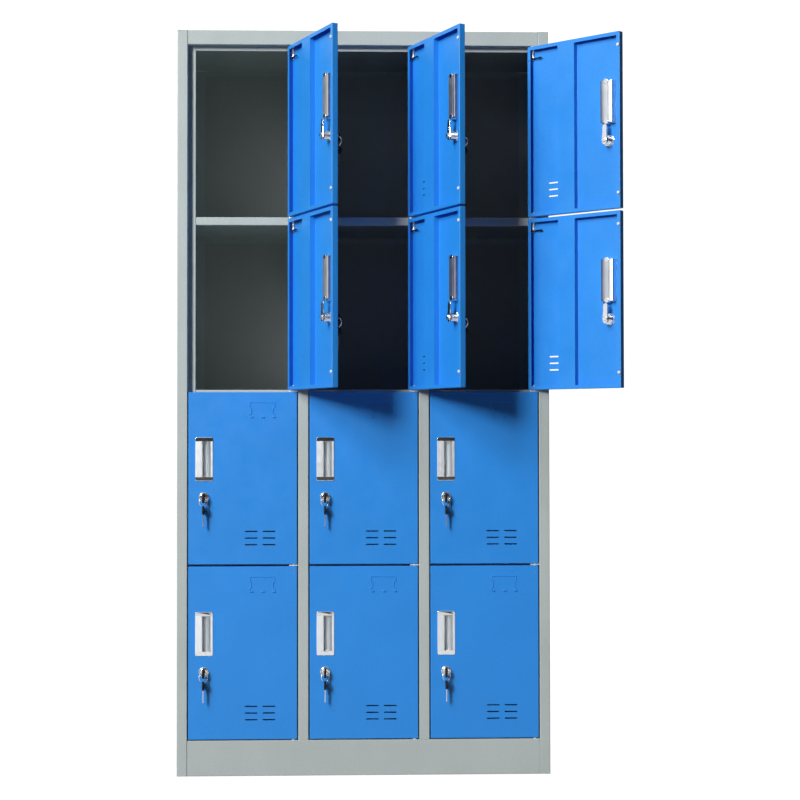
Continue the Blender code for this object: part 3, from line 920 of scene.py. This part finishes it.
def lock_fixed():
    """The parts of the lock that stay still in the door, about the lock axis."""
    bezel = [
        (9.0, 0.5), (9.0, -1.5), (9.3, -2.2), (9.9, -2.7), (10.6, -2.8), (11.3, -2.5),
        (11.8, -1.8), (12.0, -0.9), (12.0, -0.3), (11.0, -0.3), (9.6, 0.5),
    ]
    face_ring = turned([(r * MM, y * MM) for r, y in bezel], 48, closed=True)
    barrel = screw_thread(9.4 * MM, 0.4 * MM, 20.6 * MM, 1.1 * MM, 0.45 * MM, 32)
    hexagon = fillet(ellipse(14.2 * MM, 14.2 * MM, 6), 1.0 * MM, closed=True, steps=3)
    nut = plate(hexagon, 1.3 * MM, 6.3 * MM, "XZ", 0.6 * MM)
    washer = plate(ellipse(13.6 * MM, 13.6 * MM, 36), 1.02 * MM, 1.3 * MM, "XZ", 0.1 * MM)
    return merge(face_ring, barrel, nut, washer)


def lock_turning():
    """Plug face, cam and cam screw, about the lock axis."""
    plug = [(0.05, -1.5), (3.0, -1.7), (7.6, -1.7), (8.4, -1.4), (8.8, -0.9), (8.8, 0.45), (0.05, 0.45)]
    slot = box((-1.3 * MM, -3 * MM, -4.6 * MM), (1.3 * MM, -0.5 * MM, 4.6 * MM))
    face = carved("plug", turned([(r * MM, y * MM) for r, y in plug], 40), [slot])
    arm = [
        (-7.0, -4.0), (-4.0, -9.5), (0.0, -11.2), (4.0, -9.5), (7.0, -4.0), (6.6, 8.0), (5.2, 18.0),
        (5.2, 30.5), (3.6, 35.4), (0.0, 37.0), (-4.6, 36.0), (-7.0, 32.0), (-6.4, 18.0), (-6.8, 8.0),
    ]
    outline = fillet([(x * MM, z * MM) for x, z in arm], 2.0 * MM, closed=True, steps=3)
    cam = plate(outline, 21.5 * MM, 23.8 * MM, "XZ", 0.4 * MM)
    washer = plate(ellipse(6.6 * MM, 6.6 * MM, 30), 23.8 * MM, 24.7 * MM, "XZ", 0.2 * MM)
    head = plate(
        fillet(ellipse(5.4 * MM, 5.4 * MM, 6), 0.5 * MM, closed=True, steps=2),
        24.7 * MM, 28.0 * MM, "XZ", 0.6 * MM,
    )
    stem = plate(ellipse(4.4 * MM, 4.4 * MM, 24), 20.4 * MM, 21.6 * MM, "XZ", 0.1 * MM)
    return merge(face, cam, washer, head, stem)


KEY_CENTRE = -14.8 * MM
KEY_HOLE = 5.2 * MM
RING_RADIUS = 11.2 * MM
RING_WIRE = 0.62 * MM
RING_TURN = math.radians(35)


def key_blade(length, wide, thick):
    """A cut blade in the YZ plane, from y = 0 towards +Y, with notches."""
    notches = [(0.30, 0.18), (0.42, 0.34), (0.54, 0.12), (0.66, 0.40), (0.78, 0.22), (0.90, 0.38)]
    lower = [(0.0, -wide / 2), (length * 0.94, -wide / 2), (length, -wide * 0.12)]
    upper = [(length, wide * 0.12)]
    for along, depth in reversed(notches):
        upper.append((length * along, wide / 2 - wide * depth))
    upper += [(length * 0.24, wide / 2), (0.0, wide / 2)]
    return plate(lower + upper, -thick / 2, thick / 2, "YZ", 0.25 * MM)


def key_bow(centre_y, centre_z, radius_y, radius_z, hole, thick, rise=0.0):
    """An oval key head in the YZ plane with softened edges and a round hole above its middle."""
    sides = 36
    outer = ellipse(radius_y, radius_z, sides, (centre_y, centre_z))
    inner = ellipse(hole, hole, sides, (centre_y, centre_z + rise))
    edge = 0.28 * thick
    half = thick / 2
    small_outer = inset(outer, edge)
    wide_inner = ellipse(hole + edge, hole + edge, sides, (centre_y, centre_z + rise))
    loops = [
        (small_outer, -half), (outer, -half + edge), (outer, half - edge), (small_outer, half),
        (wide_inner, half), (inner, half - edge), (inner, -half + edge), (wide_inner, -half),
    ]
    return skin([[(x, p[0], p[1]) for p in loop] for loop, x in loops], closed=True)


def key_in_lock_blade():
    return shifted(key_blade(10 * MM, 8 * MM, 2.0 * MM), 0, -9.2 * MM, 0)


def key_in_lock_bow():
    return key_bow(KEY_CENTRE, -2.2 * MM, 9.5 * MM, 11.8 * MM, KEY_HOLE, 5.6 * MM, 2.2 * MM)


def hanging_ring():
    """A split ring of two turns of wire that hangs through the bow's hole."""
    turn = Matrix.Rotation(RING_TURN, 4, "Z")
    turns = []
    for side in (-1, 1):
        loop = shifted(loop_tube(RING_RADIUS, RING_WIRE), 0, side * RING_WIRE, -RING_RADIUS)
        turns.append(shifted(moved(loop, turn), 0, KEY_CENTRE, 0))
    return merge(*turns)


SPARE_MIDDLE = -31.5 * MM


def spare_key_blade():
    down = Matrix.Rotation(-math.pi / 2, 4, "X")
    blade = moved(key_blade(31 * MM, 8 * MM, 2.2 * MM), down)
    return shifted(blade, 0, KEY_CENTRE, SPARE_MIDDLE - 10.5 * MM)


def spare_key_bow():
    bow = key_bow(0.0, 0.0, 12.0 * MM, 11.0 * MM, 3.6 * MM, 5.0 * MM, 5.0 * MM)
    return shifted(bow, 0, KEY_CENTRE, SPARE_MIDDLE)


def bumpers():
    """Soft buttons on the free lip that meet the stop lip when the door shuts."""
    shapes = []
    for z in BUMPER_HEIGHTS:
        profile = [(3.6, 0.1), (4.0, -0.4), (3.9, -1.6), (3.2, -2.6), (2.0, -3.1), (0.1, -3.2)]
        button = turned([(r * MM, -y * MM) for r, y in profile], 28)
        shapes.append(shifted(button, door_x(DOOR_LIP / 2), door_y(DOOR_THICKNESS), z))
    return merge(*shapes)


def pivot_metal():
    """Pivot pins above and below, the sprung rod in the top inner corner and its bracket."""
    top = DOOR_HEIGHT
    shapes = []
    for low, high in ((-2.3 * MM, 12 * MM), (top - 32 * MM, top + 2.3 * MM)):
        outline = ellipse(PIN_RADIUS * 0.92, PIN_RADIUS * 0.92, 24)
        shapes.append(plate(outline, low, high, "XY", 0.4 * MM))
    corners = rectangle((-5.5 * MM, door_y(1.3 * MM)), (7.6 * MM, door_y(8.2 * MM)))
    bracket = fillet(corners, 1.5 * MM, closed=True)
    for z in (top - 27 * MM, top - 7 * MM, 7 * MM):
        shapes.append(plate(bracket, z - 0.8 * MM, z + 0.8 * MM, "XY", 0.2 * MM))
    coil = []
    for k in range(9):
        ring = moved(loop_tube(3.1 * MM, 0.45 * MM, 24, 8), Matrix.Rotation(math.pi / 2, 4, "X"))
        coil.append(shifted(ring, 0, 0, top - (9.5 + k * 1.25) * MM))
    return merge(*shapes, *coil)


def pivot_lever():
    """The black finger that draws the sprung rod down."""
    flip = Matrix.Rotation(math.pi, 4, "Z")
    rod = moved(plate(ellipse(1.5 * MM, 1.5 * MM, 18), -4.0 * MM, 24 * MM, "YZ", 0.4 * MM), flip)
    knob = moved(plate(ellipse(2.0 * MM, 2.0 * MM, 20), 17 * MM, 27 * MM, "YZ", 0.7 * MM), flip)
    collar = plate(ellipse(3.4 * MM, 3.4 * MM, 24), -2.6 * MM, 2.6 * MM, "XY", 0.5 * MM)
    return shifted(merge(rod, knob, collar), 0, LEVER_FROM_PIVOT, DOOR_HEIGHT - LEVER_FROM_TOP)


JOINTS = {j["name"]: j for j in frame["record"]["behaviour"]["joints"]}


def door_set(row, column, meshes):
    tag = f"row{row}_col{column}"
    hinge = JOINTS[f"door_{tag}_hinge"]
    x, y, middle = hinge["pos_m"]
    angle = math.radians(-hinge["range_deg"][0])
    place = Matrix.Translation((x, y, middle - DOOR_HEIGHT / 2)) @ Matrix.Rotation(angle, 4, "Z")
    lock_at = place @ Matrix.Translation((door_x(LOCK_POINT[0]), door_y(0), LOCK_POINT[1]))
    door, lock = f"door_{tag}", f"lock_{tag}"
    piece(door + "_shell", meshes["shell"], door, place, [door])
    piece(door + "_label_holder", meshes["label"], door, place)
    piece(f"pull_{tag}_profile", meshes["pull"], door, place, [f"pull_{tag}"])
    piece(f"pull_{tag}_caps", meshes["caps"], door, place)
    piece(door + "_pivots", meshes["pivots"], door, place)
    piece(door + "_lever", meshes["lever"], door, place)
    piece(door + "_bumpers", meshes["bumpers"], door, place)
    piece(lock + "_housing", meshes["housing"], door, lock_at)
    piece(lock + "_plug_and_cam", meshes["turning"], lock, lock_at, [lock])
    piece(lock + "_key_blade", meshes["blade"], lock, lock_at)
    piece(lock + "_key_bow", meshes["bow"], lock, lock_at)
    piece(lock + "_key_ring", meshes["ring"], lock, lock_at)
    piece(lock + "_spare_blade", meshes["spare"], lock, lock_at)
    piece(lock + "_spare_bow", meshes["spare_bow"], lock, lock_at)


def doors():
    meshes = {
        "shell": mesh_of("door_shell", door_shell(), BLUE, 28),
        "label": mesh_of("label_holder", label_holder(), BLUE, 60),
        "pull": mesh_of("pull_profile", pull_body(), ALUMINIUM, 38),
        "caps": mesh_of("pull_caps", pull_caps(), CHROME, 50),
        "pivots": mesh_of("door_pivots", pivot_metal(), ZINC),
        "lever": mesh_of("pivot_lever", pivot_lever(), BLACK),
        "bumpers": mesh_of("door_bumpers", bumpers(), RUBBER, 40),
        "housing": mesh_of("lock_housing", lock_fixed(), CHROME, 40),
        "turning": mesh_of("lock_turning", lock_turning(), CHROME),
        "blade": mesh_of("key_blade", key_in_lock_blade(), NICKEL),
        "bow": mesh_of("key_bow", key_in_lock_bow(), BLACK, 50),
        "ring": mesh_of("key_ring", hanging_ring(), NICKEL, 70),
        "spare": mesh_of("spare_key_blade", spare_key_blade(), NICKEL),
        "spare_bow": mesh_of("spare_key_bow", spare_key_bow(), BLACK, 50),
    }
    for row in range(1, ROWS + 1):
        for column in range(1, COLUMNS + 1):
            door_set(row, column, meshes)


# ---------------------------------------------------------------- stage, light and camera


WHITE = (1.0, 1.0, 1.0, 1.0)

# The floor's glow to the camera, then its glow in mirrors, near and far, and where that changes
FLOOR_GLOW = 0.96
FLOOR_MIRROR = (0.8, 0.04)
FLOOR_SWEEP = (4.0, 8.0)
FLOOR_RADIUS = 30.0

# Strengths: the room from below to above, mirrors' dark and bright sides, and behind everything
ROOM = (0.0, 0.005)
ROOM_COLOUR = (0.93, 0.97, 1.0, 1.0)
BRIGHT_SIDE = (-0.55, 0.45, 0.7)
MIRROR_PANEL = (0.03, 1.0)
BACKDROP = 1.1

# Lights: name, azimuth, elevation, distance, size, power, colour. They circle the cabinet's
# front at this height and are aimed at its top edge
LIGHT_SPREAD = math.radians(90)
LIGHT_CENTRE_HEIGHT = 0.9
LIGHTS = (
    ("key", 39, 36, 12.0, 3.8, 156, (0.985, 1.0, 1.01)),
    ("low_key", 35, 18, 12.0, 2.4, 262, (1.0, 0.975, 0.955)),
    ("rear_fill", 205, 16, 12.0, 5.0, 70, (1.0, 1.0, 1.0)),
)

# Camera, in metres from the front's middle at floor height, degrees and millimetres of lens
CAMERA_FROM_FACE = 3.9612
CAMERA_SIDE = -0.0303
CAMERA_HEIGHT = 0.8226
CAMERA_YAW = 1.7069
CAMERA_PITCH = 1.1656
CAMERA_ROLL = -0.0828
CAMERA_LENS = 73.72


def floor():
    """A wide pale floor. It looks nearly white, and throws only a little light back up."""
    n = Surface("studio_floor")
    path = n.add("LightPath").outputs
    distance = n.add("VectorMath", {0: n.coords}, operation="LENGTH").outputs["Value"]
    near = n.spread(distance, *FLOOR_MIRROR, *FLOOR_SWEEP)
    mirrored = n.add("Math", {0: path["Is Glossy Ray"], 1: near}, operation="MULTIPLY").outputs[0]
    inputs = {0: path["Is Camera Ray"], 1: FLOOR_GLOW, 2: mirrored}
    n.shade(
        Base_Color=n.blend(n.noise(1.5), (0.05, 0.05, 0.05, 1.0), (0.06, 0.06, 0.06, 1.0)),
        Roughness=0.8,
        Emission_Color=WHITE,
        Emission_Strength=n.add("Math", inputs, operation="MULTIPLY_ADD").outputs[0],
    )
    mesh = bpy.data.meshes.new("studio_floor")
    rim = ellipse(FLOOR_RADIUS, FLOOR_RADIUS, 64)
    mesh.from_pydata([(x, y, -0.5 * MM) for x, y in rim], [], [tuple(range(len(rim)))])
    mesh.materials.append(n.material)
    thing = bpy.data.objects.new("studio_floor", mesh)
    bpy.context.scene.collection.objects.link(thing)


def light_around(name, azimuth, elevation, distance, size, power, colour):
    """A square area light; azimuth runs to the left of straight ahead."""
    data = bpy.data.lights.new(name, "AREA")
    data.shape = "RECTANGLE"
    data.size, data.size_y = size, size
    data.energy = power
    data.spread = LIGHT_SPREAD
    data.color = colour
    light = bpy.data.objects.new(name, data)
    bpy.context.scene.collection.objects.link(light)
    turn, rise = math.radians(azimuth), math.radians(elevation)
    across, up = distance * math.cos(rise), distance * math.sin(rise)
    x, y = -across * math.sin(turn), FRONT_Y - across * math.cos(turn)
    light.location = (x, y, LIGHT_CENTRE_HEIGHT + up)
    towards = Vector((0.0, FRONT_Y, HEIGHT)) - light.location
    light.rotation_euler = towards.to_track_quat("-Z", "Y").to_euler()


def world():
    """White to the camera. To surfaces it is a dim room; mirrors see bright and dark panels in it."""
    made = bpy.data.worlds.new("studio")
    bpy.context.scene.world = made
    made.use_nodes = True
    made.node_tree.nodes.clear()
    n = Nodes(made.node_tree)
    direction = n.add("TexCoord").outputs["Generated"]
    height = n.add("SeparateXYZ", {0: direction}).outputs["Z"]
    inputs = {0: direction, 1: BRIGHT_SIDE}
    facing = n.add("VectorMath", inputs, operation="DOT_PRODUCT").outputs["Value"]
    room, mirror, white = (
        n.add("Background", {"Color": colour, "Strength": strength}).outputs[0]
        for colour, strength in (
            (ROOM_COLOUR, n.spread(height, *ROOM, -0.3, 1.0)),
            (WHITE, n.spread(facing, *MIRROR_PANEL, -0.25, 0.35)),
            (WHITE, BACKDROP),
        )
    )
    path = n.add("LightPath").outputs
    seen = n.add("MixShader", {0: path["Is Glossy Ray"], 1: room, 2: mirror}).outputs[0]
    seen = n.add("MixShader", {0: path["Is Camera Ray"], 1: seen, 2: white}).outputs[0]
    n.add("OutputWorld", {"Surface": seen})


def camera():
    data = bpy.data.cameras.new("camera")
    data.lens = CAMERA_LENS
    data.sensor_width = 36
    data.clip_end = 100
    thing = bpy.data.objects.new("camera", data)
    bpy.context.scene.collection.objects.link(thing)
    yaw, pitch, roll = (math.radians(a) for a in (CAMERA_YAW, CAMERA_PITCH, CAMERA_ROLL))
    turn = Matrix.Rotation(-yaw, 4, "Z") @ Matrix.Rotation(math.pi / 2 + pitch, 4, "X")
    place = Matrix.Translation((CAMERA_SIDE, FRONT_Y - CAMERA_FROM_FACE, CAMERA_HEIGHT))
    thing.matrix_world = place @ turn @ Matrix.Rotation(roll, 4, "Z")
    bpy.context.scene.camera = thing


def build():
    side_panel(-1)
    side_panel(1)
    middle_post(0, "partition_left")
    middle_post(1, "partition_right")
    top_panel()
    base_panel()
    back_panel()
    for row in range(1, ROWS):
        for column in range(COLUMNS):
            shelf(row, column)
    hinge_leaves()
    rivets()
    doors()
    floor()
    world()
    for light in LIGHTS:
        light_around(*light)
    camera()
    bpy.context.scene.view_settings.view_transform = "Standard"


build()
